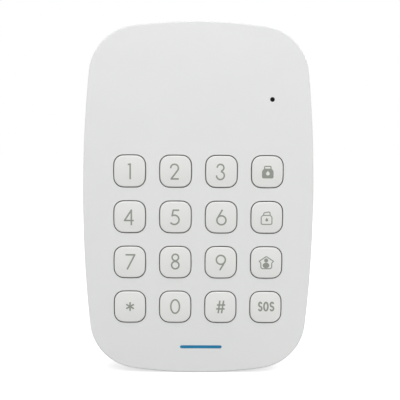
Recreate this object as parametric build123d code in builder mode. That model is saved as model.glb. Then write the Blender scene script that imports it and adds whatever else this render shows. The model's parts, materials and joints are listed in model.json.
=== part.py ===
from build123d import *
import os
from math import radians, sqrt, tan

# A wall-mounted alarm keypad, in millimetres.
# The origin is the middle of the face that lies on the wall, +Z is up, +X is to the right of a
# person who faces the keypad, and -Y points out of the wall at that person. A "height" is a
# distance off the wall, so a point at height h has Y = -h.

# Outline, at the section where the cover is widest
WIDTH = 85.3
HEIGHT = 131.7
SIDE_RADIUS = 505.0
END_RADIUS = 172.0
CORNER_RADIUS = 18.8
WIDEST = 19.0
SIDE_LEAN = 7.5  # degrees, the sides lean in towards the wall

# Heights of the covers
FRONT = 21.0  # the front face at its highest line
CROWN_RADIUS = 1500.0  # the front face is part of a cylinder about an axis along X
FRONT_EDGE = 0.5
WALL = 2.0
RIM = 0.5
RECESS = 2.5  # outside of the rear floor, sunk below the rim so that the bracket hides in it
FLOOR = 4.5
PARTING = 9.0
LIP_TOP = 10.5
REAR_WALL = 2.2
LIP_WALL = 1.2
LIP_GAP = 0.1
SEAM = 0.3

# Keys
KEY_PITCH = 17.0
KEYS_Z = -14.8  # the middle of the key field
KEY_SIZE = (11.45, 11.6)
OPENING_SIZE = (12.15, 12.3)
KEY_BOW = 55.0
KEY_CORNER = 3.35
KEY_PROUD = 0.8
KEY_TOP_RADIUS = 46.0
KEY_EDGE = 0.4
OPENING_EDGE = 0.12
FLANGE = 0.8
FLANGE_BELOW = 2.4  # top of the flange, below the cover's front
FLANGE_MARGIN = 1.0
BOSS_RADIUS = 2.6
KEY_NAMES = (
    ("key_1", "key_2", "key_3", "key_arm"),
    ("key_4", "key_5", "key_6", "key_disarm"),
    ("key_7", "key_8", "key_9", "key_home"),
    ("key_star", "key_0", "key_hash", "key_sos"),
)

# Circuit board and rubber mat
PCB_BACK = 12.0
PCB_FRONT = 13.6
PCB_HALF = 37.2
PCB_BOTTOM = -51.5
PCB_TOP = 16.4
ARM_LEFT = 23.0
ARM_RIGHT = 36.0
ARM_TOP = 43.0
MAT_TOP = 14.6
MAT_HALF = 33.0
MAT_BOTTOM = -50.0
MAT_CEILING = 16.1
DOME_TOP = 16.8
DOME_ROOF = 15.3
PILL_BOTTOM = 14.8
PILL_RADIUS = 1.6
BOSS_GAP = 0.05

# Battery bay, three cells lying across it
BAY_LEFT = -30.0
BAY_RIGHT = 21.0
BAY_BOTTOM = 18.0
BAY_TOP = 54.0
BAY_WALL = 1.2
BAY_CEILING = 15.1
CELL_RADIUS = 5.25
CELL_LENGTH = 44.5
NUB = 1.0
CELL_AXIS = 9.55
CELL_PITCH = 10.9
CONTACT = 0.4

# Battery door
DOOR = 1.5
DOOR_GAP = 0.3
HINGE_HEIGHT = 3.1
HINGE_Z = 17.0
BARREL = 1.0
STUB = 0.6
STUB_GAP = 0.05
KNUCKLE = 6.0
KNUCKLE_SPACING = 34.0
EAR = 1.6
EAR_RADIUS = 1.15  # clear of the door's edge, which turns about the same axis

# Wall bracket
BRACKET = 2.2
BRACKET_HALF = 33.0
BRACKET_BOTTOM = -50.0
BRACKET_TOP = 12.0
WALL_SCREWS = ((-28.0, 2.0), (28.0, 2.0), (-28.0, -32.0), (28.0, -32.0))
SCREW_HOLE = 2.1
HOOK_X = 20.0
HOOK_TOPS = (4.0, -36.0)  # Z of the top of each hook's post
HOOK_WIDTH = 8.0
HOOK_POST = 2.0
HOOK_LIP = 2.5
HOOK_TOP = 6.2
LIFT = 3.0

# Tamper plunger, which the wall presses in
TAMPER = (0.0, -12.0)
PLUNGER_RADIUS = 1.5
PLUNGER_GAP = 0.1
COLLAR = (6.2, 7.2)
COLLAR_RADIUS = 3.0
PLUNGER_TOP = 9.5

# Screws and light
CASE_SCREWS = ((-22.0, 58.3), (22.0, 58.3), (-29.0, -54.8), (29.0, -54.8))
BOSS = 2.8
SCREW_SHAFT = 1.25
SCREW_HEAD = 2.3
PCB_SCREWS = ((-35.0, 10.0), (35.0, 10.0), (-35.0, -33.1), (35.0, -33.1))
PCB_SHAFT = 1.0
LED = (27.1, 37.35)
LED_HOLE = 0.875

BAY_X = (BAY_LEFT + BAY_RIGHT) / 2
BAY_Z = (BAY_BOTTOM + BAY_TOP) / 2
BAY_WIDTH = BAY_RIGHT - BAY_LEFT
CELL_ROWS = tuple(BAY_Z + step * CELL_PITCH for step in (1, 0, -1))


def off_wall(height):
    """The plane at a height off the wall: its x is X, its y is Z, and it faces the user."""
    return Plane.XZ.offset(height)


def sagitta(radius, half_chord):
    """How far an arc stands away from the middle of its chord."""
    return radius - sqrt(radius**2 - half_chord**2)


def front_at(z):
    """The height of the cover's crowned front face at Z = z."""
    return FRONT - sagitta(CROWN_RADIUS, abs(z))


def bulged_rectangle(width, height, side_radius, end_radius, corner_radius):
    """A rectangle with rounded corners whose four sides are shallow arcs."""
    x, y = width / 2, height / 2
    for _ in range(20):
        x, y = width / 2 - sagitta(side_radius, y), height / 2 - sagitta(end_radius, x)
    with BuildSketch() as shape:
        with BuildLine():
            ThreePointArc((x, -y), (width / 2, 0), (x, y))
            ThreePointArc((x, y), (0, height / 2), (-x, y))
            ThreePointArc((-x, y), (-width / 2, 0), (-x, -y))
            ThreePointArc((-x, -y), (0, -height / 2), (x, -y))
        make_face()
        fillet(shape.vertices(), corner_radius)
    return shape.sketch


def outline(height, inset=0.0):
    """The case's section at a height off the wall, moved inwards by inset."""
    shrink = inset + (WIDEST - height) * tan(radians(SIDE_LEAN))
    return bulged_rectangle(
        WIDTH - 2 * shrink,
        HEIGHT - 2 * shrink,
        SIDE_RADIUS - shrink,
        END_RADIUS - shrink,
        CORNER_RADIUS - shrink,
    )


def key_outline(size, margin=0.0):
    """A key's rounded square, grown by margin."""
    return bulged_rectangle(
        size[0] + 2 * margin,
        size[1] + 2 * margin,
        KEY_BOW,
        KEY_BOW,
        KEY_CORNER + (size[0] - KEY_SIZE[0]) / 2 + margin,
    )


def leaning_solid(bottom, top, inset=0.0):
    """The case's leaning sides between two heights, moved inwards by inset."""
    with BuildPart() as solid:
        for height in (bottom, top):
            with BuildSketch(off_wall(height)):
                add(outline(height, inset))
        loft(ruled=True)
    return solid.part


def crowned_solid(bottom, front, inset=0.0):
    """The same, but ended by the crowned front face, moved in to reach `front` at its highest."""
    reach = 0.6 * HEIGHT
    with BuildPart() as solid:
        add(leaning_solid(bottom, FRONT + 1.0, inset))
        with BuildSketch(Plane.YZ):
            with BuildLine():
                edge = sagitta(CROWN_RADIUS, reach) - front
                ThreePointArc((edge, -reach), (-front, 0), (edge, reach))
                Polyline((edge, reach), (0, reach), (0, -reach), (edge, -reach))
            make_face()
        extrude(amount=WIDTH, both=True, mode=Mode.INTERSECT)
    return solid.part


def coil(radius, wire, pitch, length, start, direction):
    """A compression spring that starts at a point and runs in a direction."""
    with BuildPart() as spring:
        with BuildLine():
            turns = Helix(pitch, length, radius, center=start, direction=direction)
        with BuildSketch(Plane(origin=turns @ 0, z_dir=turns % 0)):
            Circle(wire)
        sweep(path=turns, is_frenet=True)
    return spring.part


def block(x_range, z_range, height_range, mode=Mode.ADD):
    """Adds a block between the given X, Z and height limits to the part being built."""
    middle = (
        sum(x_range) / 2,
        -sum(height_range) / 2,
        sum(z_range) / 2,
    )
    with Locations(middle):
        Box(
            x_range[1] - x_range[0],
            height_range[1] - height_range[0],
            z_range[1] - z_range[0],
            mode=mode,
        )


def rod(places, radius, height_range, mode=Mode.ADD):
    """Adds round rods that stand off the wall to the part being built."""
    length = height_range[1] - height_range[0]
    with Locations(*[(x, -sum(height_range) / 2, z) for x, z in places]):
        Cylinder(radius, length, rotation=(90, 0, 0), mode=mode)


def write(builder, name):
    """Labels a finished piece and writes its STEP file."""
    builder.part.label = name
    export_step(builder.part, f"parts/{name}.step")


os.makedirs("parts", exist_ok=True)

key_places = [
    [((column - 1.5) * KEY_PITCH, KEYS_Z + (1.5 - row) * KEY_PITCH) for column in range(4)]
    for row in range(4)
]
all_key_places = [place for row in key_places for place in row]

# ------------------------------------------------------------------ front cover
cover_outside = crowned_solid(PARTING, FRONT)
cover_inside = crowned_solid(PARTING, FRONT - WALL, WALL)

with BuildPart() as front_cover:
    add(cover_outside)
    fillet(front_cover.faces().sort_by(Axis.Y)[0].edges(), FRONT_EDGE)
    add(cover_inside, mode=Mode.SUBTRACT)
    chamfer(front_cover.faces().sort_by(Axis.Y)[-1].outer_wire().edges(), SEAM)
    rod(CASE_SCREWS, BOSS, (PARTING, FRONT - WALL - 0.4))
    rod(CASE_SCREWS, SCREW_SHAFT, (PARTING, PARTING + 5.5), Mode.SUBTRACT)
    with BuildSketch(off_wall(PARTING)):
        with Locations(*all_key_places):
            add(key_outline(OPENING_SIZE))
        with Locations(LED):
            Circle(LED_HOLE)
    extrude(amount=FRONT, mode=Mode.SUBTRACT)
    crown = front_cover.faces().filter_by(lambda face: face.area > 1000).sort_by(Axis.Y)[0]
    openings = [wire for wire in crown.inner_wires() if wire.length > KEY_SIZE[0]]
    chamfer([edge for wire in openings for edge in wire.edges()], OPENING_EDGE)
write(front_cover, "front_cover")

# ------------------------------------------------------------------ rear cover
case_back = leaning_solid(RIM, PARTING)
recess_space = leaning_solid(RIM, RECESS, REAR_WALL)
rear_space = leaning_solid(FLOOR, LIP_TOP, REAR_WALL)
lip_outside = leaning_solid(FLOOR, LIP_TOP, WALL + LIP_GAP)
lip_inside = leaning_solid(FLOOR, LIP_TOP, WALL + LIP_GAP + LIP_WALL)
knuckle_places = [BAY_X + side * KNUCKLE_SPACING / 2 for side in (-1, 1)]

with BuildPart() as rear_cover:
    add(case_back)
    fillet(rear_cover.faces().sort_by(Axis.Y)[-1].edges(), 0.8)
    add(recess_space, mode=Mode.SUBTRACT)
    add(rear_space, mode=Mode.SUBTRACT)
    add(lip_outside)
    add(lip_inside, mode=Mode.SUBTRACT)
    rod(CASE_SCREWS, BOSS + 0.3, (PARTING, LIP_TOP), Mode.SUBTRACT)
    rod(CASE_SCREWS, BOSS, (RECESS, PARTING))
    # battery bay: four walls and a ceiling over the cells
    block(
        (BAY_LEFT - BAY_WALL, BAY_RIGHT + BAY_WALL),
        (BAY_BOTTOM - BAY_WALL, BAY_TOP + BAY_WALL),
        (RECESS, BAY_CEILING + BAY_WALL),
    )
    block((BAY_LEFT, BAY_RIGHT), (BAY_BOTTOM, BAY_TOP), (RECESS, BAY_CEILING), Mode.SUBTRACT)
    # ribs that part the cells
    for z in (BAY_Z - CELL_PITCH / 2, BAY_Z + CELL_PITCH / 2):
        block((BAY_X - 16, BAY_X + 16), (z - 0.4, z + 0.4), (BAY_CEILING - 2.8, BAY_CEILING))
    # hinge: a notch for each knuckle between two ears
    for x in knuckle_places:
        reach = KNUCKLE / 2 + EAR
        block((x - reach, x + reach), (HINGE_Z - 1.6, BAY_BOTTOM), (RECESS, FLOOR + 0.6))
        with Locations((x, -HINGE_HEIGHT, HINGE_Z)):
            Cylinder(EAR_RADIUS, 2 * reach, rotation=(0, 90, 0))
        block(
            (x - KNUCKLE / 2 - 0.2, x + KNUCKLE / 2 + 0.2),
            (HINGE_Z - 1.3, BAY_BOTTOM + DOOR_GAP),
            (RECESS - 0.6, FLOOR - 0.1),
            Mode.SUBTRACT,
        )
        with Locations((x, -HINGE_HEIGHT, HINGE_Z)):
            Cylinder(STUB + STUB_GAP, 2 * reach - 0.8, rotation=(0, 90, 0), mode=Mode.SUBTRACT)
    # posts under the circuit board
    rod(PCB_SCREWS, 2.2, (RECESS, PCB_BACK))
    rod(PCB_SCREWS, PCB_SHAFT, (FLOOR + 1, PCB_BACK), Mode.SUBTRACT)
    # slots for the bracket's hooks, the tamper plunger's hole and guide
    for top in HOOK_TOPS:
        for x in (-HOOK_X, HOOK_X):
            reach = HOOK_WIDTH / 2 + 0.3
            block(
                (x - reach, x + reach),
                (top - HOOK_POST - LIFT - 0.3, top + 0.1),
                (RECESS, FLOOR),
                Mode.SUBTRACT,
            )
    rod([TAMPER], PLUNGER_RADIUS + 1.3, (RECESS, FLOOR + 0.4))
    rod([TAMPER], PLUNGER_RADIUS + PLUNGER_GAP, (RECESS, FLOOR + 0.4), Mode.SUBTRACT)
    # case screws come in from the back
    rod(CASE_SCREWS, SCREW_SHAFT + 0.15, (RECESS, PARTING), Mode.SUBTRACT)
    rod(CASE_SCREWS, SCREW_HEAD + 0.2, (0, RECESS + 1.9), Mode.SUBTRACT)
    # sound slots in the lower edge, under the buzzer
    for step in range(-2, 3):
        x = 3.0 * step
        block((x - 0.6, x + 0.6), (-HEIGHT / 2, -HEIGHT / 2 + 8), (FLOOR + 0.8, FLOOR + 2.8), Mode.SUBTRACT)
write(rear_cover, "rear_cover")

# ------------------------------------------------------------------ keys
for names, places in zip(KEY_NAMES, key_places):
    for name, (x, z) in zip(names, places):
        face = front_at(z)
        flange_top = face - FLANGE_BELOW
        with BuildPart() as key:
            with BuildSketch(off_wall(flange_top - FLANGE)):
                with Locations((x, z)):
                    add(key_outline(KEY_SIZE))
            extrude(amount=FLANGE_BELOW + FLANGE + KEY_PROUD + 0.1)
            with Locations((x, KEY_TOP_RADIUS - face - KEY_PROUD, z)):
                Sphere(KEY_TOP_RADIUS, mode=Mode.INTERSECT)
            fillet(key.faces().sort_by(Axis.Y)[0].edges(), KEY_EDGE)
            with BuildSketch(off_wall(flange_top - FLANGE)):
                with Locations((x, z)):
                    add(key_outline(KEY_SIZE, FLANGE_MARGIN))
            extrude(amount=FLANGE)
            with BuildSketch(off_wall(flange_top - FLANGE)):
                with Locations((x, z)):
                    add(key_outline(KEY_SIZE, -1.2))
            extrude(amount=FLANGE + FLANGE_BELOW - 1.0, mode=Mode.SUBTRACT)
            rod([(x, z)], BOSS_RADIUS, (DOME_TOP + BOSS_GAP, face - 0.8))
        write(key, name)

# ------------------------------------------------------------------ mat, pills and board
with BuildPart() as keypad_mat:
    with BuildSketch(off_wall(PCB_FRONT)):
        with Locations((0, (MAT_BOTTOM + MAT_CEILING) / 2)):
            RectangleRounded(2 * MAT_HALF, MAT_CEILING - MAT_BOTTOM, 2)
    extrude(amount=MAT_TOP - PCB_FRONT)
    for x, z in all_key_places:
        with Locations((x, -(MAT_TOP + DOME_TOP) / 2, z)):
            Cone(4.2, 2.9, DOME_TOP - MAT_TOP, rotation=(90, 0, 0))
    for x, z in all_key_places:
        with Locations((x, -(PCB_FRONT + DOME_ROOF) / 2, z)):
            Cone(3.4, 2.1, DOME_ROOF - PCB_FRONT, rotation=(90, 0, 0), mode=Mode.SUBTRACT)
write(keypad_mat, "keypad_mat")

with BuildPart() as carbon_pills:
    rod(all_key_places, PILL_RADIUS, (PILL_BOTTOM, DOME_ROOF))
write(carbon_pills, "carbon_pills")

with BuildPart() as main_pcb:
    block((-PCB_HALF, PCB_HALF), (PCB_BOTTOM, PCB_TOP), (PCB_BACK, PCB_FRONT))
    chamfer(main_pcb.edges().filter_by(Axis.Y).group_by(Axis.Z)[0], 6.0)
    block((ARM_LEFT, ARM_RIGHT), (PCB_TOP, ARM_TOP), (PCB_BACK, PCB_FRONT))
    rod(PCB_SCREWS, PCB_SHAFT + 0.1, (PCB_BACK, PCB_FRONT), Mode.SUBTRACT)
write(main_pcb, "main_pcb")

with BuildPart() as key_contacts:
    rod(all_key_places, 2.6, (PCB_FRONT, PCB_FRONT + 0.05))
write(key_contacts, "key_contacts")

# ------------------------------------------------------------------ parts on the board
with BuildPart() as status_led:
    block(
        (LED[0] - 1.6, LED[0] + 1.6),
        (LED[1] - 1.4, LED[1] + 1.4),
        (PCB_FRONT, PCB_FRONT + 1.0),
    )
    with Locations((LED[0], -(PCB_FRONT + 1.0), LED[1])):
        Sphere(1.0)
write(status_led, "status_led")

lens_face = front_at(LED[1])
with BuildPart() as led_lens:
    rod([LED], LED_HOLE - 0.02, (lens_face - WALL - 0.5, lens_face - 0.25))
    rod([LED], 1.9, (lens_face - WALL - 1.8, lens_face - WALL - 0.05))
    rod([LED], 1.2, (PCB_FRONT + 2.2, lens_face - WALL - 1.8))
write(led_lens, "led_lens")

with BuildPart() as buzzer:
    rod([(-8.0, -43.0)], 6.0, (PCB_BACK - 5.0, PCB_BACK))
    rod([(-8.0, -43.0)], 1.0, (PCB_BACK - 5.0, PCB_BACK - 4.0), Mode.SUBTRACT)
write(buzzer, "buzzer")

with BuildPart() as microcontroller:
    block((6.0, 13.0), (-29.0, -22.0), (PCB_BACK - 1.0, PCB_BACK))
    chamfer(microcontroller.faces().sort_by(Axis.Y)[-1].edges(), 0.15)
write(microcontroller, "microcontroller")

with BuildPart() as radio_module:
    block((-13.0, 5.0), (-33.0, -17.0), (PCB_BACK - 0.8, PCB_BACK))
    block((-11.5, 3.5), (-31.5, -18.5), (PCB_BACK - 2.6, PCB_BACK - 0.8))
write(radio_module, "radio_module")

# a bent strip that stands off the board's arm
with BuildPart() as antenna:
    block((29.0, 34.5), (24.0, 24.8), (PCB_BACK - 4.5, PCB_BACK))
    block((29.0, 34.5), (24.0, 40.0), (PCB_BACK - 5.0, PCB_BACK - 4.5))
    block((29.0, 30.6), (39.2, 40.0), (PCB_BACK - 4.5, PCB_BACK))
write(antenna, "antenna")

with BuildPart() as passive_components:
    for step in range(6):
        block((7.0 + 2.0 * step, 8.2 + 2.0 * step), (-34.0, -32.0), (PCB_BACK - 0.8, PCB_BACK))
        block((-9.0 + 3.0 * step, -7.0 + 3.0 * step), (-4.0, -2.8), (PCB_BACK - 0.8, PCB_BACK))
    block((14.0, 17.2), (-27.0, -22.0), (PCB_BACK - 1.2, PCB_BACK))
    rod([(3.0, 10.0), (10.0, 10.0)], 2.0, (PCB_BACK - 5.0, PCB_BACK))
write(passive_components, "passive_components")

with BuildPart() as service_connector:
    block((4.0, 13.0), (-48.0, -43.0), (PCB_BACK - 4.0, PCB_BACK))
    block((4.8, 12.2), (-47.2, -43.8), (PCB_BACK - 4.0, PCB_BACK - 1.0), Mode.SUBTRACT)
    for step in range(3):
        x = 6.0 + 2.5 * step
        block((x - 0.25, x + 0.25), (-45.75, -45.25), (PCB_BACK - 3.4, PCB_BACK - 1.0))
write(service_connector, "service_connector")

# ------------------------------------------------------------------ batteries
cell_names = ("aaa_cell_top", "aaa_cell_middle", "aaa_cell_bottom")
cell_left = BAY_LEFT + CONTACT
cell_right = BAY_RIGHT - CONTACT
springs = []
contacts = []
for name, z, turned in zip(cell_names, CELL_ROWS, (False, True, False)):
    side = 1 if turned else -1  # the end of the bay that the positive nub points at
    nub_end = cell_right if turned else cell_left
    body = nub_end - side * (NUB + (CELL_LENGTH - NUB) / 2)
    with BuildPart() as cell:
        with Locations((body, -CELL_AXIS, z)):
            Cylinder(CELL_RADIUS, CELL_LENGTH - NUB, rotation=(0, 90, 0))
        chamfer(cell.edges().filter_by(GeomType.CIRCLE), 0.4)
        with Locations((nub_end - side * NUB / 2, -CELL_AXIS, z)):
            Cylinder(1.9, NUB, rotation=(0, 90, 0))
    write(cell, name)
    spring_start = (cell_left if turned else cell_right) + side * 0.35
    spring_length = BAY_WIDTH - 2 * CONTACT - CELL_LENGTH - 0.7
    springs.append(coil(2.8, 0.3, 1.25, spring_length, (spring_start, -CELL_AXIS, z), (side, 0, 0)))

with BuildPart() as battery_springs:
    add(springs)
write(battery_springs, "battery_springs")

with BuildPart() as battery_contacts:
    for x in (BAY_LEFT, BAY_RIGHT - CONTACT):
        for z in CELL_ROWS:
            block((x, x + CONTACT), (z - 4.2, z + 4.2), (CELL_AXIS - 4.4, CELL_AXIS + 5.0))
    # a strip joins two cells at each end
    block((BAY_LEFT, BAY_LEFT + CONTACT), (BAY_Z, CELL_ROWS[0]), (CELL_AXIS, CELL_AXIS + 2.0))
    block((cell_right, BAY_RIGHT), (CELL_ROWS[2], BAY_Z), (CELL_AXIS, CELL_AXIS + 2.0))
write(battery_contacts, "battery_contacts")

# ------------------------------------------------------------------ battery door
with BuildPart() as battery_door:
    block(
        (BAY_LEFT + DOOR_GAP, BAY_RIGHT - DOOR_GAP),
        (BAY_BOTTOM + DOOR_GAP, BAY_TOP - DOOR_GAP),
        (RECESS, RECESS + DOOR),
    )
    fillet(battery_door.edges().filter_by(Axis.Y), 0.8)
    # finger recess with grip ribs, near the edge that opens
    block((BAY_X - 8, BAY_X + 8), (BAY_TOP - 7.5, BAY_TOP - 2.5), (RECESS, RECESS + 0.7), Mode.SUBTRACT)
    for step in range(-1, 2):
        z = BAY_TOP - 5.0 + 1.5 * step
        block((BAY_X - 7, BAY_X + 7), (z - 0.3, z + 0.3), (RECESS, RECESS + 0.7))
    for x in knuckle_places:
        block(
            (x - KNUCKLE / 2, x + KNUCKLE / 2),
            (HINGE_Z, BAY_BOTTOM + 1.0),
            (HINGE_HEIGHT - 0.6, HINGE_HEIGHT + 0.8),
        )
        with Locations((x, -HINGE_HEIGHT, HINGE_Z)):
            Cylinder(BARREL, KNUCKLE, rotation=(0, 90, 0))
            Cylinder(STUB, KNUCKLE + 2 * EAR - 1.2, rotation=(0, 90, 0))
write(battery_door, "battery_door")

# ------------------------------------------------------------------ tamper switch
with BuildPart() as tamper_plunger:
    rod([TAMPER], PLUNGER_RADIUS, (0.1, PLUNGER_TOP))
    rod([TAMPER], COLLAR_RADIUS, COLLAR)
    block((TAMPER[0], TAMPER[0] + 6.5), (TAMPER[1] - 1.0, TAMPER[1] + 1.0), COLLAR)
write(tamper_plunger, "tamper_plunger")

spring_seat = (TAMPER[0], -COLLAR[1] - 0.25, TAMPER[1])
with BuildPart() as tamper_spring:
    add(coil(2.15, 0.2, 1.05, PCB_BACK - COLLAR[1] - 0.5, spring_seat, (0, -1, 0)))
write(tamper_spring, "tamper_spring")

with BuildPart() as tamper_switch:
    block(
        (TAMPER[0] + 3.6, TAMPER[0] + 9.6),
        (TAMPER[1] - 2.6, TAMPER[1] + 2.6),
        (COLLAR[1] + 0.4, PCB_BACK),
    )
    # the plunger's flag slides into this slot
    block(
        (TAMPER[0] + 3.6, TAMPER[0] + 7.2),
        (TAMPER[1] - 1.3, TAMPER[1] + 1.3),
        (COLLAR[1] + 0.4, COLLAR[1] + 2.3),
        Mode.SUBTRACT,
    )
write(tamper_switch, "tamper_switch")

# ------------------------------------------------------------------ screws and label
with BuildPart() as case_screws:
    rod(CASE_SCREWS, SCREW_SHAFT, (RECESS + 1.9, PARTING + 5.0))
    rod(CASE_SCREWS, SCREW_HEAD, (RECESS + 0.1, RECESS + 1.9))
    for x, z in CASE_SCREWS:
        slots = (RECESS + 0.1, RECESS + 1.1)
        block((x - 1.3, x + 1.3), (z - 0.3, z + 0.3), slots, Mode.SUBTRACT)
        block((x - 0.3, x + 0.3), (z - 1.3, z + 1.3), slots, Mode.SUBTRACT)
write(case_screws, "case_screws")

with BuildPart() as pcb_screws:
    rod(PCB_SCREWS, PCB_SHAFT, (FLOOR + 2.5, PCB_FRONT))
    rod(PCB_SCREWS, 1.9, (PCB_FRONT, PCB_FRONT + 1.3))
    for x, z in PCB_SCREWS:
        slots = (PCB_FRONT + 0.6, PCB_FRONT + 1.3)
        block((x - 1.0, x + 1.0), (z - 0.25, z + 0.25), slots, Mode.SUBTRACT)
        block((x - 0.25, x + 0.25), (z - 1.0, z + 1.0), slots, Mode.SUBTRACT)
write(pcb_screws, "pcb_screws")

with BuildPart() as rating_label:
    with BuildSketch(off_wall(RECESS - 0.15)):
        with Locations((29.6, 34.0)):
            RectangleRounded(10.0, 24.0, 1.0)
    extrude(amount=0.15)
write(rating_label, "rating_label")

# ------------------------------------------------------------------ wall bracket
with BuildPart() as wall_bracket:
    with BuildSketch(off_wall(0)):
        with Locations((0, (BRACKET_BOTTOM + BRACKET_TOP) / 2)):
            RectangleRounded(2 * BRACKET_HALF, BRACKET_TOP - BRACKET_BOTTOM, 4)
    extrude(amount=BRACKET)
    chamfer(wall_bracket.faces().sort_by(Axis.Y)[0].edges(), 0.4)
    with Locations(*[off_wall(BRACKET) * Pos(x, z) for x, z in WALL_SCREWS]):
        CounterSinkHole(SCREW_HOLE, SCREW_HOLE + 1.2, counter_sink_angle=90)
    # slot for the tamper plunger, long enough for the keypad to lift off
    block(
        (TAMPER[0] - PLUNGER_RADIUS - 0.6, TAMPER[0] + PLUNGER_RADIUS + 0.6),
        (TAMPER[1] - PLUNGER_RADIUS - 0.6, TAMPER[1] + PLUNGER_RADIUS + LIFT + 0.6),
        (0, BRACKET),
        Mode.SUBTRACT,
    )
    for top in HOOK_TOPS:
        for x in (-HOOK_X, HOOK_X):
            sides = (x - HOOK_WIDTH / 2, x + HOOK_WIDTH / 2)
            block(sides, (top - HOOK_POST, top), (BRACKET, HOOK_TOP))
            block(sides, (top, top + HOOK_LIP), (FLOOR + 0.2, HOOK_TOP))
write(wall_bracket, "wall_bracket")
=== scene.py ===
import json
from math import atan2, cos, hypot, pi, radians, sin, sqrt

import bmesh
import bpy
from mathutils import Matrix, Vector
from mathutils.geometry import delaunay_2d_cdt


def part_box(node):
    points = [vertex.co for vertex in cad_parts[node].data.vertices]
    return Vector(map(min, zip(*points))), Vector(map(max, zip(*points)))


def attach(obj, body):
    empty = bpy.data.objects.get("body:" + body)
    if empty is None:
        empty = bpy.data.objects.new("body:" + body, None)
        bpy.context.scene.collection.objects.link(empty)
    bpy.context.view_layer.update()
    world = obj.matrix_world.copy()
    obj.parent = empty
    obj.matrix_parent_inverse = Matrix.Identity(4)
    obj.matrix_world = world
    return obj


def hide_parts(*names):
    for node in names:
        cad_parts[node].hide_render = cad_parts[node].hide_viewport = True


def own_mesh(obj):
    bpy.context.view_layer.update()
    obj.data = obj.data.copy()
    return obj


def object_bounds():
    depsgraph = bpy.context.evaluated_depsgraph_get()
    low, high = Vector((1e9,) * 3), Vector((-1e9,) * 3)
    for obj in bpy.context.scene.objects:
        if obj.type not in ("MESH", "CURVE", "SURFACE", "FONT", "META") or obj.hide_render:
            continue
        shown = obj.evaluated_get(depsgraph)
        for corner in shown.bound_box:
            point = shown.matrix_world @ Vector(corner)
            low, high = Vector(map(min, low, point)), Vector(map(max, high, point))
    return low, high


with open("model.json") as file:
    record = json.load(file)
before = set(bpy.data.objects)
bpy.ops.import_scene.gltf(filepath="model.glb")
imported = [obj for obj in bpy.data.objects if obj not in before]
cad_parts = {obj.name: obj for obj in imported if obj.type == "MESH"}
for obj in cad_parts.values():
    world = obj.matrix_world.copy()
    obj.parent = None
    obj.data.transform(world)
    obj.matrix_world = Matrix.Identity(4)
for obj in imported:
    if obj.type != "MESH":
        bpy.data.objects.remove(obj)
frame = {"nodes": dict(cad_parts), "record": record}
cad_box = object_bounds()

# The wall keypad's looks. Lengths are in metres; MM turns millimetres into metres.
MM = 0.001
slot_of = {part["node"]: part["material_slot"] for part in frame["record"]["subparts"]}

# Key caps: their tops are parts of spheres. The cover's front is part of a cylinder along X.
KEY_TOP_RADIUS = 46.0 * MM
CROWN_RADIUS = 1500.0 * MM

# Ink is a thin closed layer that stands proud of its surface and reaches a little into it
INK_RISE = 0.03 * MM
INK_SINK = 0.05 * MM

# Drawings are in plain millimetres. The grid's points let ink follow a curved surface.
INK_GRID = 0.45
GRID_START = (0.21, 0.23)
INK_STEP = 0.5
JOINT_POINTS = 16
STROKE = 0.58
SOS_STROKE = 0.64
THIN_STROKE = 0.42
FINE_STROKE = THIN_STROKE * 0.9

# The accent bar low on the cover: half length and half height as drawn, and its middle
ACCENT_HALF = (7.9, 0.6)
ACCENT_PLACE = (1.25 * MM, -55.8 * MM)

# The key openings as drawn: half width and half height, the radius of their bowed sides, corners
OPENING = (6.075, 6.15)
OPENING_BOW = 55.0
OPENING_CORNER = 3.7
SIDE_STEPS = 8
CORNER_STEPS = 12
SETTLE_STEPS = 40
# A dark sleeve in each key opening, below its edge, is painted shade: it stands in for the shadow deep in
# the narrow gap round each key
SHADE_SLEEVE_TOP = 0.22 * MM
SHADE_SLEEVE_DEPTH = 1.7 * MM
SHADE_SLEEVE_OUT = 0.02
SHADE_SLEEVE_IN = 0.05

# The label, the marks on the back and the bands round the cells
LABEL_THICK = 0.15 * MM
LABEL_MARGIN = 0.8
LABEL_STROKE = 0.22
LABEL_LINES = 8
LINE_PITCH = 1.3
LABEL_BARS = 12
BAR_PITCH = 0.5
MARK_STROKE = 0.5
DOOR_ARROW = 4.0
DOOR_ARROW_DROP = 13 * MM
BRACKET_ARROW = 6.0
BRACKET_ARROW_STROKE = 0.7
BRACKET_ARROW_RAISE = 1.4
BRACKET_ARROW_DROP = 9 * MM
POLE_OUT = 17
POLE_HALF = 1.3
CELL_LINE_HALF = 12
CELL_LINE_OFF = 2.6
LEVEL_OUT = 18
LEVEL_HALF = 1.5
LEVEL_STROKE = 0.3
BAND_RISE = 0.03 * MM
BAND_SET_BACK = 1.8 * MM
BAND_LENGTH = 9.0 * MM
BAND_POINTS = 64

# The reach round each key's middle that holds its dome of the mat, and how near corners must be to be welded
# when a node is copied
DOME_REACH = 4.3 * MM
WELD = 1e-7

# Camera; angles in degrees
AIM = (0.83 * MM, 0.0, -1.51 * MM)
DISTANCE = 280.0 * MM
ELEVATION = 4.36
TURN = 0.64
ROLL = 0.35
LENS = 62.73

# Light: the world lights at WORLD_STRENGTH but is seen as white, and the floor glows for the
# camera alone, so that its shadows stay pale
WORLD_STRENGTH = 0.55
FLOOR_GLOW = 0.64
FLOOR_RADIUS = 6.0
SUN_ELEVATION = 45
SUN_WIDTH = 40
SUN_STRENGTH = 1.08
# name, place, target, size, watts
AREA_LIGHTS = (
    ("edge_light_left", (-0.5, -0.25, 0.05), (0, 0, 0), (0.04, 0.5), 0.36),
    ("edge_light_right", (0.5, -0.25, 0.05), (0, 0, 0), (0.04, 0.5), 0.36),
    ("back_fill", (0.25, 0.6, 0.35), (0, 0, 0), (0.5, 0.5), 3.0),
    ("key_light", (0.0, -0.20, 0.30), (0, 0, 0.03), (0.30, 0.20), 0.29),
)


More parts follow.
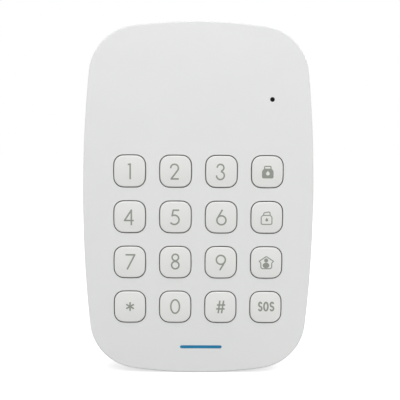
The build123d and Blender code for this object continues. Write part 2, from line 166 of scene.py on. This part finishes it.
# ------------------------------------------------------------------ materials
def new_material(name):
    """A node material, its node tree and its Principled shader."""
    made = bpy.data.materials.new(name)
    made.use_nodes = True
    return made, made.node_tree, made.node_tree.nodes["Principled BSDF"]


def noise(tree, scale, detail=3.0, roughness=0.5):
    """Noise in the object's own space, so that it moves with the piece."""
    place = tree.nodes.new("ShaderNodeTexCoord")
    made = tree.nodes.new("ShaderNodeTexNoise")
    made.inputs["Scale"].default_value = scale
    made.inputs["Detail"].default_value = detail
    made.inputs["Roughness"].default_value = roughness
    tree.links.new(place.outputs["Object"], made.inputs["Vector"])
    return made


def ramp(tree, source, low, high):
    """Blends from one colour to another as the source goes from 0.35 to 0.65."""
    made = tree.nodes.new("ShaderNodeValToRGB")
    made.color_ramp.elements[0].position = 0.35
    made.color_ramp.elements[1].position = 0.65
    made.color_ramp.elements[0].color = (*low, 1)
    made.color_ramp.elements[1].color = (*high, 1)
    tree.links.new(source, made.inputs["Fac"])
    return made.outputs["Color"]


def spread(tree, source, low, high):
    """Maps the source's middle range to low..high."""
    made = tree.nodes.new("ShaderNodeMapRange")
    made.inputs["From Min"].default_value = 0.3
    made.inputs["From Max"].default_value = 0.7
    made.inputs["To Min"].default_value = low
    made.inputs["To Max"].default_value = high
    tree.links.new(source, made.inputs["Value"])
    return made.outputs["Result"]


def bump(tree, shader, source, depth):
    """Raises the surface by up to depth, in metres."""
    made = tree.nodes.new("ShaderNodeBump")
    made.inputs["Strength"].default_value = 1.0
    made.inputs["Distance"].default_value = depth
    tree.links.new(source, made.inputs["Height"])
    tree.links.new(made.outputs["Normal"], shader.inputs["Normal"])


def shade(color, factor):
    """A colour made lighter or darker by a factor."""
    return tuple(min(1.0, part * factor) for part in color)


def surface(name, color, roughness, vary=0.03, mottle=90, grain=2500, depth=0.004 * MM, metallic=0.0,
            stretch=(1, 1, 1)):
    """A moulded or rolled surface: slow colour drift, uneven gloss, fine grain and faint pits.

    stretch lengthens the grain along the axes where it is below 1, as brushing does.
    """
    made, tree, shader = new_material(name)
    drift = noise(tree, mottle, 4.0)
    tint = ramp(tree, drift.outputs["Fac"], shade(color, 1 - vary), shade(color, 1 + vary))
    tree.links.new(tint, shader.inputs["Base Color"])
    tree.links.new(
        spread(tree, drift.outputs["Fac"], roughness * 0.88, roughness * 1.12),
        shader.inputs["Roughness"],
    )
    fine = noise(tree, grain, 3.0, 0.6)
    scaled = tree.nodes.new("ShaderNodeMapping")
    scaled.inputs["Scale"].default_value = stretch
    tree.links.new(fine.inputs["Vector"].links[0].from_socket, scaled.inputs["Vector"])
    tree.links.new(scaled.outputs["Vector"], fine.inputs["Vector"])
    bump(tree, shader, fine.outputs["Fac"], depth)
    shader.inputs["Metallic"].default_value = metallic
    return made


def board_surface(name, mask, copper):
    """Solder mask with paler tracks under it, laid out as a net of short straight runs."""
    made, tree, shader = new_material(name)
    place = tree.nodes.new("ShaderNodeTexCoord")
    turned = tree.nodes.new("ShaderNodeMapping")
    turned.inputs["Rotation"].default_value = (radians(90), 0, 0)
    tracks = tree.nodes.new("ShaderNodeTexBrick")
    tracks.inputs["Color1"].default_value = (*mask, 1)
    tracks.inputs["Color2"].default_value = (*shade(mask, 1.25), 1)
    tracks.inputs["Mortar"].default_value = (*copper, 1)
    tracks.inputs["Scale"].default_value = 160
    tracks.inputs["Mortar Size"].default_value = 0.03
    tree.links.new(place.outputs["Object"], turned.inputs["Vector"])
    tree.links.new(turned.outputs["Vector"], tracks.inputs["Vector"])
    tree.links.new(tracks.outputs["Color"], shader.inputs["Base Color"])
    weave = noise(tree, 1800, 2.0)
    tree.links.new(spread(tree, weave.outputs["Fac"], 0.25, 0.4), shader.inputs["Roughness"])
    bump(tree, shader, tracks.outputs["Fac"], 0.03 * MM)
    return made


BRUSHED = (0.06, 1, 1)
TURNED = (1, 0.08, 1)

materials = {
    "cover": surface("cover_abs", (0.760, 0.768, 0.762), 0.42, vary=0.004),
    "keycap": surface("keycap_plastic", (0.775, 0.778, 0.758), 0.22, vary=0.004, depth=0.001 * MM),
    "rear": surface("rear_abs", (0.74, 0.745, 0.74), 0.5, vary=0.008, depth=0.008 * MM),
    "bracket": surface("bracket_abs", (0.70, 0.70, 0.69), 0.55, vary=0.01, depth=0.010 * MM),
    "door": surface("door_abs", (0.74, 0.745, 0.74), 0.5, vary=0.008, depth=0.008 * MM),
    "silicone": surface("silicone_rubber", (0.55, 0.56, 0.55), 0.6),
    "carbon": surface("carbon_rubber", (0.02, 0.02, 0.02), 0.7),
    "board": board_surface("board_mask", (0.01, 0.12, 0.05), (0.04, 0.24, 0.10)),
    "pads": surface("pad_gold", (0.75, 0.53, 0.20), 0.3, metallic=1.0),
    "chip": surface("chip_epoxy", (0.02, 0.02, 0.022), 0.5, vary=0.2),
    "shield": surface("shield_tin", (0.62, 0.62, 0.60), 0.35, metallic=1.0, stretch=BRUSHED),
    "steel": surface("zinc_steel", (0.55, 0.55, 0.56), 0.32, vary=0.08, metallic=1.0, stretch=TURNED),
    "spring_wire": surface("spring_nickel", (0.66, 0.64, 0.60), 0.25, metallic=1.0),
    "cell": surface("cell_jacket", (0.03, 0.09, 0.20), 0.30, vary=0.06, grain=900, depth=0.01 * MM),
    "led": surface("led_epoxy", (0.75, 0.78, 0.70), 0.15),
    "lens": surface("smoked_lens", (0.004, 0.004, 0.005), 0.5, vary=0.3),
    "plunger": surface("acetal", (0.70, 0.70, 0.68), 0.35),
    "connector": surface("nylon", (0.72, 0.70, 0.60), 0.5),
    "label": surface("label_film", (0.68, 0.68, 0.67), 0.4, metallic=0.3),
}
ink = surface("key_ink", (0.285, 0.302, 0.262), 0.5, vary=0.03)
blue = surface("accent_ink", (0.002, 0.195, 0.38), 0.35, vary=0.03)
print_ink = surface("print_ink", (0.10, 0.10, 0.11), 0.5, vary=0.05)
band = surface("cell_band", (0.62, 0.30, 0.12), 0.28, metallic=0.8, stretch=BRUSHED)
mark = surface("mould_mark", (0.50, 0.50, 0.49), 0.6)
# painted shade: the dark colour of the sleeves in the key openings, which stands in for the shadow in the
# gaps round the keys
gap_shade_paint = surface("painted_gap_shade_material", (0.13, 0.125, 0.12), 0.7)

# a smoked window, which shines less than bare plastic
lens_shader = materials["lens"].node_tree.nodes["Principled BSDF"]
lens_shader.inputs["Specular IOR Level"].default_value = 0.15

for name, node in frame["nodes"].items():
    node.data.materials.clear()
    node.data.materials.append(materials[slot_of[name]])


# ------------------------------------------------------------------ legends
# Each legend is drawn in millimetres about its key's middle, x to the right and y up, as
# strokes (lists of points with a width), filled shapes and holes in them.
def arc(cx, cy, rx, ry, start, end):
    """Points along part of an ellipse, from start to end in degrees."""
    steps = max(3, int(abs(end - start) / 9))
    turns = [radians(start + (end - start) * i / steps) for i in range(steps + 1)]
    return [(cx + rx * cos(turn), cy + ry * sin(turn)) for turn in turns]


def ring(cx, cy, rx, ry=None):
    """A closed circle or ellipse."""
    return arc(cx, cy, rx, ry or rx, 0, 360)


def rounded_box(cx, cy, half_w, half_h, top, bottom):
    """The outline of a box with rounded corners, the top ones and the bottom ones alike."""
    points = arc(cx + half_w - top, cy + half_h - top, top, top, 0, 90)
    points += arc(cx - half_w + top, cy + half_h - top, top, top, 90, 180)
    points += arc(cx - half_w + bottom, cy - half_h + bottom, bottom, bottom, 180, 270)
    points += arc(cx + half_w - bottom, cy - half_h + bottom, bottom, bottom, 270, 360)
    return points + points[:1]


def drop(cx, cy, radius, tip):
    """A drop: a round bottom drawn up to a tip."""
    lean = 35
    return [(cx, tip)] + arc(cx, cy, radius, radius, 180 - lean, 360 + lean)


def letter_s(cx, cy, half_w, half_h):
    """The letter S as one stroke."""
    upper = arc(cx, cy + half_h * 0.5, half_w * 0.92, half_h * 0.5, 25, 265)
    lower = arc(cx, cy - half_h * 0.5, half_w, half_h * 0.5, 85, -155)
    return upper + lower


def person():
    """A head and shoulders, for the home key."""
    return [ring(-0.05, 0.92, 0.76), ring(-0.1, -0.95, 1.25, 1.02)]


LEGENDS = {
    "key_1": {"strokes": [[(0.26, -3.0), (0.26, 2.62), (-0.6, 2.4)]]},
    "key_2": {"strokes": [arc(-0.38, 1.2, 1.42, 1.42, 182, -35) + [(-1.62, -2.8), (1.2, -2.8)]]},
    "key_3": {
        "strokes": [
            arc(-0.39, 1.44, 1.23, 1.23, 178, -78),
            arc(-0.42, -1.47, 1.44, 1.46, 84, -182),
        ]
    },
    "key_4": {"strokes": [[(0.66, -3.05), (0.66, 2.55), (-1.86, -1.32), (1.56, -1.32)]]},
    "key_5": {
        "strokes": [
            [(1.36, 2.6), (-0.83, 2.6), (-1.2, 0.52)] + arc(-0.39, -0.98, 1.73, 1.73, 120, -144)
        ]
    },
    "key_6": {"strokes": [ring(0.09, -1.07, 1.68), [(0.45, 2.9), (-1.36, -0.23)]]},
    "key_7": {"strokes": [[(-1.53, 2.82), (1.9, 2.82), (-0.96, -2.7)]]},
    "key_8": {"strokes": [ring(0.02, 1.9, 1.2), ring(0.0, -1.0, 1.38)]},
    "key_9": {"strokes": [ring(0.0, 1.08, 1.68), [(1.45, 0.24), (-0.37, -2.85)]]},
    "key_0": {"strokes": [ring(0.0, 0.25, 1.62, 2.56)]},
    "key_star": {
        "strokes": [
            [(0.1 - 1.66 * cos(radians(a)), 0.2 - 1.66 * sin(radians(a))),
             (0.1 + 1.66 * cos(radians(a)), 0.2 + 1.66 * sin(radians(a)))]
            for a in (90, 30, -30)
        ]
    },
    "key_hash": {
        "strokes": [
            [(-0.22, 2.55), (-0.81, -2.25)],
            [(1.2, 2.55), (0.44, -2.25)],
            [(-1.31, 0.9), (1.81, 0.9)],
            [(-1.57, -0.59), (1.59, -0.59)],
        ]
    },
    "key_sos": {
        "strokes": [
            letter_s(-2.02, 0.36, 0.55, 1.56),
            ring(0.12, 0.36, 0.74, 1.56),
            letter_s(2.38, 0.36, 0.6, 1.56),
        ],
        "width": SOS_STROKE,
    },
    "key_arm": {
        "strokes": [rounded_box(0.08, 1.42, 1.2, 0.62, 0.4, 0.2)],
        "width": THIN_STROKE,
        "fills": [rounded_box(0.1, -0.6, 2.14, 1.82, 1.4, 0.6)],
        "holes": [drop(0.14, -0.66, 0.66, 0.4)],
    },
    "key_disarm": {
        "strokes": [
            rounded_box(-0.12, -0.84, 2.0, 1.68, 1.0, 0.55),
            [(-1.25, 0.9), (-1.22, 1.5), (-0.9, 1.85), (0.75, 2.12), (1.08, 1.85), (1.2, 0.95)],
        ],
        "width": FINE_STROKE,
        "fills": [drop(-0.06, -0.92, 0.52, -0.05)],
    },
    "key_home": {
        "strokes": [
            [(0.0, 2.4), (2.66, 0.62), (2.05, -0.12), (2.02, -1.4)]
            + arc(1.3, -1.4, 0.72, 0.78, 0, -90)
            + arc(-1.3, -1.4, 0.72, 0.78, 270, 180)
            + [(-2.05, -0.12), (-2.66, 0.62), (0.0, 2.4)]
        ],
        "width": FINE_STROKE,
        "fills": person(),
    },
}


def counter_clockwise(points):
    """An outline's points, turned round if they run clockwise."""
    area = sum(
        a[0] * b[1] - b[0] * a[1] for a, b in zip(points, points[1:] + points[:1])
    )
    return points if area > 0 else points[::-1]


def stroke_shapes(points, width):
    """The quads and discs whose union is a stroke of that width."""
    shapes = []
    half = width / 2
    for start, end in zip(points, points[1:]):
        along = Vector(end) - Vector(start)
        if along.length < 1e-6:
            continue
        side = along.normalized().orthogonal() * half
        steps = int(along.length / INK_STEP) + 1
        for step in range(steps):
            a = Vector(start) + along * step / steps
            b = Vector(start) + along * (step + 1) / steps
            shapes.append([tuple(a + side), tuple(a - side), tuple(b - side), tuple(b + side)])
    for point in points[1:-1]:
        turns = [2 * pi * i / JOINT_POINTS for i in range(JOINT_POINTS)]
        shapes.append([(point[0] + half * cos(turn), point[1] + half * sin(turn)) for turn in turns])
    return shapes


def strokes(lines, width):
    """The shapes of several strokes."""
    return [shape for line in lines for shape in stroke_shapes(line, width)]


def holds(shape, point):
    """Whether a closed outline holds a point, by counting the edges to one side of it."""
    crossings = 0
    for a, b in zip(shape, list(shape[1:]) + [shape[0]]):
        if (a[1] > point[1]) != (b[1] > point[1]):
            crossings += a[0] + (point[1] - a[1]) / (b[1] - a[1]) * (b[0] - a[0]) > point[0]
    return crossings % 2 == 1


def covered(shapes, holes):
    """Joins overlapping shapes into one flat set of small triangles."""
    points, loops = [], []
    for shape in list(shapes) + list(holes):
        shape = counter_clockwise(list(shape))
        loops.append(list(range(len(points), len(points) + len(shape))))
        points += [Vector(point) for point in shape]
    low = [min(p[i] for p in points) for i in (0, 1)]
    high = [max(p[i] for p in points) for i in (0, 1)]
    start_x, start_y = low[0] + GRID_START[0], low[1] + GRID_START[1]
    for i in range(int((high[0] - low[0]) / INK_GRID) + 1):
        for j in range(int((high[1] - low[1]) / INK_GRID) + 1):
            points.append(Vector((start_x + i * INK_GRID, start_y + j * INK_GRID)))
    flat, _, faces, _, _, _ = delaunay_2d_cdt(points, [], loops, 0, 1e-5, False)
    kept = []
    for face in faces:
        middle = sum((flat[index] for index in face), Vector((0, 0))) / len(face)
        in_hole = any(holds(hole, middle) for hole in holes)
        if not in_hole and any(holds(shape, middle) for shape in shapes):
            kept.append(face)
    return flat, kept


def add_piece(name, made, material, body):
    """Turns a finished bmesh into a piece that rides on a body."""
    bmesh.ops.recalc_face_normals(made, faces=made.faces)
    mesh = bpy.data.meshes.new(name)
    made.to_mesh(mesh)
    made.free()
    piece = bpy.data.objects.new(name, mesh)
    bpy.context.scene.collection.objects.link(piece)
    mesh.materials.append(material)
    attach(piece, body)
    return piece


def inked(name, shapes, holes, place, body, material):
    """A thin layer of ink, cut from shapes and laid on the surface that place describes."""
    flat, faces = covered(shapes, holes)
    used = sorted({index for face in faces for index in face})
    order = {index: i for i, index in enumerate(used)}
    made = bmesh.new()
    top = [made.verts.new(place(flat[index], INK_RISE)) for index in used]
    bottom = [made.verts.new(place(flat[index], -INK_SINK)) for index in used]
    edges = {}
    for face in faces:
        corners = [order[index] for index in face]
        made.faces.new([top[i] for i in corners])
        made.faces.new([bottom[i] for i in reversed(corners)])
        for a, b in zip(corners, corners[1:] + corners[:1]):
            edges[(a, b)] = True
    for a, b in edges:
        if (b, a) not in edges:
            made.faces.new([top[b], top[a], bottom[a], bottom[b]])
    add_piece(name, made, material, body)


def key_surface(node):
    """Gives the place on a key's top of a point in millimetres about its middle."""
    low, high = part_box(node)
    middle = (low + high) / 2

    def place(point, rise):
        x, z = point[0] * MM, point[1] * MM
        sag = KEY_TOP_RADIUS - sqrt(KEY_TOP_RADIUS**2 - x * x - z * z)
        return Vector((middle.x + x, low.y + sag - rise, middle.z + z))

    return place


for node, drawn in LEGENDS.items():
    width = drawn.get("width", STROKE)
    shapes = strokes(drawn.get("strokes", []), width) + drawn.get("fills", [])
    inked("legend_" + node[4:], shapes, drawn.get("holes", []), key_surface(node), node, ink)


def cover_surface(middle_x, middle_z):
    """Gives the place on the cover's crowned front of a point in millimetres about a middle."""
    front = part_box("front_cover")[0].y

    def place(point, rise):
        x, z = middle_x + point[0] * MM, middle_z + point[1] * MM
        sag = CROWN_RADIUS - sqrt(CROWN_RADIUS**2 - z * z)
        return Vector((x, front + sag - rise, z))

    return place


def opening_outline(inset):
    """The opening's outline about its middle, moved in by inset: four shallow arcs with round corners."""
    half_w, half_h = OPENING[0] - inset, OPENING[1] - inset
    bow, corner = OPENING_BOW - inset, OPENING_CORNER - inset
    side_x, end_y = half_w - bow, half_h - bow
    # the corner arc touches both bowed sides; its middle is found by steps that settle
    x = y = half_w - corner
    for _ in range(SETTLE_STEPS):
        x = side_x + sqrt((bow - corner) ** 2 - y * y)
        y = end_y + sqrt((bow - corner) ** 2 - x * x)
    lean = atan2(y, x - side_x)
    turn = atan2(y - end_y, x)
    side_turns = [lean * i / SIDE_STEPS for i in range(SIDE_STEPS + 1)]
    corner_turns = [lean + (turn - lean) * i / CORNER_STEPS for i in range(1, CORNER_STEPS)]
    end_turns = [turn + (pi / 2 - turn) * i / SIDE_STEPS for i in range(SIDE_STEPS + 1)]
    quarter = [(side_x + bow * cos(angle), bow * sin(angle)) for angle in side_turns]
    quarter += [(x + corner * cos(angle), y + corner * sin(angle)) for angle in corner_turns]
    quarter += [(bow * cos(angle), end_y + bow * sin(angle)) for angle in end_turns]
    half = quarter + [(-px, py) for px, py in reversed(quarter[:-1])]
    return half + [(-px, -py) for px, py in half[1:-1]]


def closed_band(rings):
    """A mesh of walls from each ring of points to the next, and from the last back to the first."""
    made = bmesh.new()
    corners = [[made.verts.new(point) for point in ring_points] for ring_points in rings]
    count = len(corners[0])
    for a, b in zip(corners, corners[1:] + corners[:1]):
        for i in range(count):
            made.faces.new([a[i], a[(i + 1) % count], b[(i + 1) % count], b[i]])
    return made


def paint_gap_shade(node):
    """A thin dark sleeve on the wall of a key's opening, below its edge: painted shade that stands in for
    the shadow line in the gap round the key.
    """
    low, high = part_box(node)
    middle_x, middle_z = (low.x + high.x) / 2, (low.z + high.z) / 2
    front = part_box("front_cover")[0].y + CROWN_RADIUS - sqrt(CROWN_RADIUS**2 - middle_z**2)
    section = ((-SHADE_SLEEVE_OUT, SHADE_SLEEVE_TOP), (SHADE_SLEEVE_IN, SHADE_SLEEVE_TOP),
               (SHADE_SLEEVE_IN, SHADE_SLEEVE_DEPTH), (-SHADE_SLEEVE_OUT, SHADE_SLEEVE_DEPTH))
    rings = [
        [(middle_x + x * MM, front + depth, middle_z + y * MM) for x, y in opening_outline(inset)]
        for inset, depth in section
    ]
    add_piece("gap_shade_sleeve_" + node[4:], closed_band(rings), gap_shade_paint, "housing")


def back_surface(middle_x, face_y, middle_z):
    """Gives the place on a flat back face of a point in millimetres, x to the right of who looks at it."""

    def place(point, rise):
        return Vector((middle_x - point[0] * MM, face_y + rise, middle_z + point[1] * MM))

    return place


def arrow(height):
    """An arrow that points up, about its own middle."""
    half = height / 2
    return [[(0, -half), (0, half)], [(-half * 0.6, half * 0.35), (0, half), (half * 0.6, half * 0.35)]]


def print_label():
    """A frame, plain rules and bars stand in for the rating label's print. Gives the label's face."""
    low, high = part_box("rating_label")
    middle = (low + high) / 2
    half_w = (high.x - low.x) / 2 / MM - LABEL_MARGIN
    half_h = (high.z - low.z) / 2 / MM - LABEL_MARGIN
    lines = [rounded_box(0, 0, half_w, half_h, 0.5, 0.5)]
    for row in range(LABEL_LINES):
        y = half_h - 2 - LINE_PITCH * row
        lines.append([(-half_w + 1, y), (half_w - 1 - 1.5 * (row % 3), y)])
    shapes = strokes(lines, LABEL_STROKE)
    for column in range(LABEL_BARS):
        left = -half_w + 1.2 + column * BAR_PITCH
        right = left + 0.12 + 0.1 * (column % 3)
        shapes.append([(left, -half_h + 1), (right, -half_h + 1), (right, -half_h + 5), (left, -half_h + 5)])
    face = back_surface(middle.x, high.y, middle.z)
    inked("label_print", shapes, [], face, "housing", print_ink)
    return high.y


def mark_door(face_y):
    """An arrow by the finger recess outside, and each cell's poles and outline inside."""
    low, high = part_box("battery_door")
    middle_x = (low.x + high.x) / 2
    outside = back_surface(middle_x, face_y, high.z - DOOR_ARROW_DROP)
    inked("door_arrow", strokes(arrow(DOOR_ARROW), MARK_STROKE), [], outside, "door", mark)

    def inside(point, rise):
        return Vector((middle_x + point[0] * MM, low.y - rise, point[1] * MM))

    for name, turned in (("top", 1), ("middle", -1), ("bottom", 1)):
        cell_low, cell_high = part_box("aaa_cell_" + name)
        z = (cell_low.z + cell_high.z) / 2 / MM
        plus, minus = -POLE_OUT * turned, POLE_OUT * turned
        lines = [
            [(plus - POLE_HALF, z), (plus + POLE_HALF, z)],
            [(plus, z - POLE_HALF), (plus, z + POLE_HALF)],
            [(minus - POLE_HALF, z), (minus + POLE_HALF, z)],
            [(-CELL_LINE_HALF, z - CELL_LINE_OFF), (CELL_LINE_HALF, z - CELL_LINE_OFF)],
            [(-CELL_LINE_HALF, z + CELL_LINE_OFF), (CELL_LINE_HALF, z + CELL_LINE_OFF)],
        ]
        inked("door_poles_" + name, strokes(lines, MARK_STROKE), [], inside, "door", mark)


def mark_bracket():
    """An arrow that says which way is up, and a small cross on each side to level the bracket by."""
    low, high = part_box("wall_bracket")
    lines = [[(x, z + BRACKET_ARROW_RAISE) for x, z in line] for line in arrow(BRACKET_ARROW)]
    upper = back_surface(0, high.y, high.z - BRACKET_ARROW_DROP)
    inked("bracket_up", strokes(lines, BRACKET_ARROW_STROKE), [], upper, "bracket", mark)
    middle = back_surface(0, high.y, (low.z + high.z) / 2)
    for side, name in ((-LEVEL_OUT, "right"), (LEVEL_OUT, "left")):
        cross = [[(side - LEVEL_HALF, 0), (side + LEVEL_HALF, 0)], [(side, -LEVEL_HALF), (side, LEVEL_HALF)]]
        inked("bracket_level_" + name, strokes(cross, LEVEL_STROKE), [], middle, "bracket", mark)


def band_cell(name, towards):
    """The coloured band round a cell's end; towards is -1 or 1, the side along X it lies on."""
    low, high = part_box("aaa_cell_" + name)
    axis_y, axis_z = (low.y + high.y) / 2, (low.z + high.z) / 2
    radius = (high.z - low.z) / 2 + BAND_RISE
    end = (low.x if towards < 0 else high.x) - towards * BAND_SET_BACK
    far, inner = end - towards * BAND_LENGTH, radius - 3 * BAND_RISE
    turns = [2 * pi * i / BAND_POINTS for i in range(BAND_POINTS)]
    rings = [
        [(x, axis_y + r * cos(turn), axis_z + r * sin(turn)) for turn in turns]
        for x, r in ((end, radius), (far, radius), (far, inner), (end, inner))
    ]
    add_piece("cell_band_" + name, closed_band(rings), band, "housing")


# a sleeve of painted shade in each key opening, for the shadow in the gap round its key
for node in LEGENDS:
    paint_gap_shade(node)
label_face = print_label()
mark_door(label_face - LABEL_THICK)
mark_bracket()
for cell_name, toward in (("top", -1), ("middle", 1), ("bottom", -1)):
    band_cell(cell_name, toward)
inked("accent_bar", [rounded_box(0, 0, *ACCENT_HALF, ACCENT_HALF[1], ACCENT_HALF[1])], [],
      cover_surface(*ACCENT_PLACE), "housing", blue)


# ------------------------------------------------------------------ soft parts
def near(corners, place):
    """Whether all corners lie within a dome's reach of a place."""
    return all(hypot(corner.co.x - place[0], corner.co.z - place[1]) < DOME_REACH for corner in corners)


def copied(name, node, wanted, cuts=()):
    """The wanted faces of a CAD node, as a piece that stands for that node.

    At each place in cuts, the two open loops that the cut leaves are joined by a wall.
    """
    source = frame["nodes"][node]
    made = bmesh.new()
    made.from_mesh(source.data)
    made.transform(source.matrix_world)
    bmesh.ops.remove_doubles(made, verts=made.verts, dist=WELD)
    unwanted = [face for face in made.faces if not wanted(face)]
    bmesh.ops.delete(made, geom=unwanted, context="FACES")
    for place in cuts:
        rim = [edge for edge in made.edges if edge.is_boundary and near(edge.verts, place)]
        bmesh.ops.bridge_loops(made, edges=rim)
    piece = add_piece(name, made, materials[slot_of[node]], "housing")
    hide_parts(node)
    return piece


def soften_mat():
    """Splits the mat into its sheet and a dome with its pill per key, each a piece with its own mesh."""
    places = {}
    for node in LEGENDS:
        low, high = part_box(node)
        places[node] = ((low.x + high.x) / 2, (low.z + high.z) / 2)
    copied("mat_sheet", "keypad_mat",
           lambda face: not any(near(face.verts, place) for place in places.values()), places.values())
    for node, place in places.items():
        for kind, source, cuts in (("dome_", "keypad_mat", [place]), ("pill_", "carbon_pills", ())):
            piece = copied(kind + node[4:], source, lambda face: near(face.verts, place), cuts)
            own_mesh(piece)


def soften_spring():
    """The tamper spring, as a piece with its own mesh."""
    piece = copied("tamper_coil", "tamper_spring", lambda face: True)
    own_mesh(piece)


soften_mat()
soften_spring()


# ------------------------------------------------------------------ light, floor and camera
def area_light(name, place, target, size, watts):
    """A rectangular light that faces its target."""
    lamp = bpy.data.lights.new(name, "AREA")
    lamp.shape = "RECTANGLE"
    lamp.size, lamp.size_y = size
    lamp.energy = watts
    made = bpy.data.objects.new(name, lamp)
    made.location = place
    made.rotation_euler = (Vector(target) - Vector(place)).to_track_quat("-Z", "Y").to_euler()
    bpy.context.scene.collection.objects.link(made)


def build_world():
    """A white world whose strength differs for lighting and for what the camera sees."""
    world = bpy.data.worlds.new("studio")
    world.use_nodes = True
    tree = world.node_tree
    background = tree.nodes["Background"]
    background.inputs["Color"].default_value = (1, 1, 1, 1)
    background.inputs["Strength"].default_value = WORLD_STRENGTH
    seen = tree.nodes.new("ShaderNodeBackground")
    seen.inputs["Color"].default_value = (1, 1, 1, 1)
    seen.inputs["Strength"].default_value = 1.0
    path = tree.nodes.new("ShaderNodeLightPath")
    either = tree.nodes.new("ShaderNodeMixShader")
    tree.links.new(path.outputs["Is Camera Ray"], either.inputs["Fac"])
    tree.links.new(background.outputs["Background"], either.inputs[1])
    tree.links.new(seen.outputs["Background"], either.inputs[2])
    tree.links.new(either.outputs["Shader"], tree.nodes["World Output"].inputs["Surface"])
    bpy.context.scene.world = world


def build_sun():
    """A broad sun, high in front of the keys."""
    lamp = bpy.data.lights.new("sun", "SUN")
    lamp.angle = radians(SUN_WIDTH)
    lamp.energy = SUN_STRENGTH
    made = bpy.data.objects.new("sun", lamp)
    toward = Vector((0, -cos(radians(SUN_ELEVATION)), sin(radians(SUN_ELEVATION))))
    made.rotation_euler = (-toward).to_track_quat("-Z", "Y").to_euler()
    bpy.context.scene.collection.objects.link(made)


def build_floor(height):
    """A plain round floor under the object, with a glow that only the camera sees."""
    mesh = bpy.data.meshes.new("floor")
    made = bmesh.new()
    bmesh.ops.create_circle(made, cap_ends=True, radius=FLOOR_RADIUS, segments=96)
    made.to_mesh(mesh)
    made.free()
    floor = bpy.data.objects.new("floor", mesh)
    floor.location = (0, 0, height)
    bpy.context.scene.collection.objects.link(floor)
    paper = surface("floor_paper", (0.5, 0.5, 0.5), 0.9, vary=0.003, grain=400)
    tree = paper.node_tree
    glow = tree.nodes.new("ShaderNodeEmission")
    path = tree.nodes.new("ShaderNodeLightPath")
    both = tree.nodes.new("ShaderNodeAddShader")
    strength = tree.nodes.new("ShaderNodeMath")
    strength.operation = "MULTIPLY"
    strength.inputs[1].default_value = FLOOR_GLOW
    tree.links.new(path.outputs["Is Camera Ray"], strength.inputs[0])
    tree.links.new(strength.outputs["Value"], glow.inputs["Strength"])
    tree.links.new(tree.nodes["Principled BSDF"].outputs["BSDF"], both.inputs[0])
    tree.links.new(glow.outputs["Emission"], both.inputs[1])
    tree.links.new(both.outputs["Shader"], tree.nodes["Material Output"].inputs["Surface"])
    mesh.materials.append(paper)


def build_camera():
    """The camera, which looks at AIM from DISTANCE away, a little above and to the side."""
    lens = bpy.data.cameras.new("camera")
    lens.lens = LENS
    made = bpy.data.objects.new("camera", lens)
    tilt = radians(ELEVATION)
    away = Matrix.Rotation(-radians(TURN), 3, "Z") @ Vector((0, -cos(tilt), sin(tilt))) * DISTANCE
    made.location = Vector(AIM) + away
    turn = (-away).to_track_quat("-Z", "Y").to_matrix() @ Matrix.Rotation(radians(ROLL), 3, "Z")
    made.rotation_euler = turn.to_euler()
    bpy.context.scene.collection.objects.link(made)
    bpy.context.scene.camera = made


build_world()
build_floor(cad_box[0][2])
build_camera()
build_sun()
for light in AREA_LIGHTS:
    area_light(*light)
bpy.context.scene.view_settings.view_transform = "Standard"
bpy.context.scene.view_settings.look = "None"
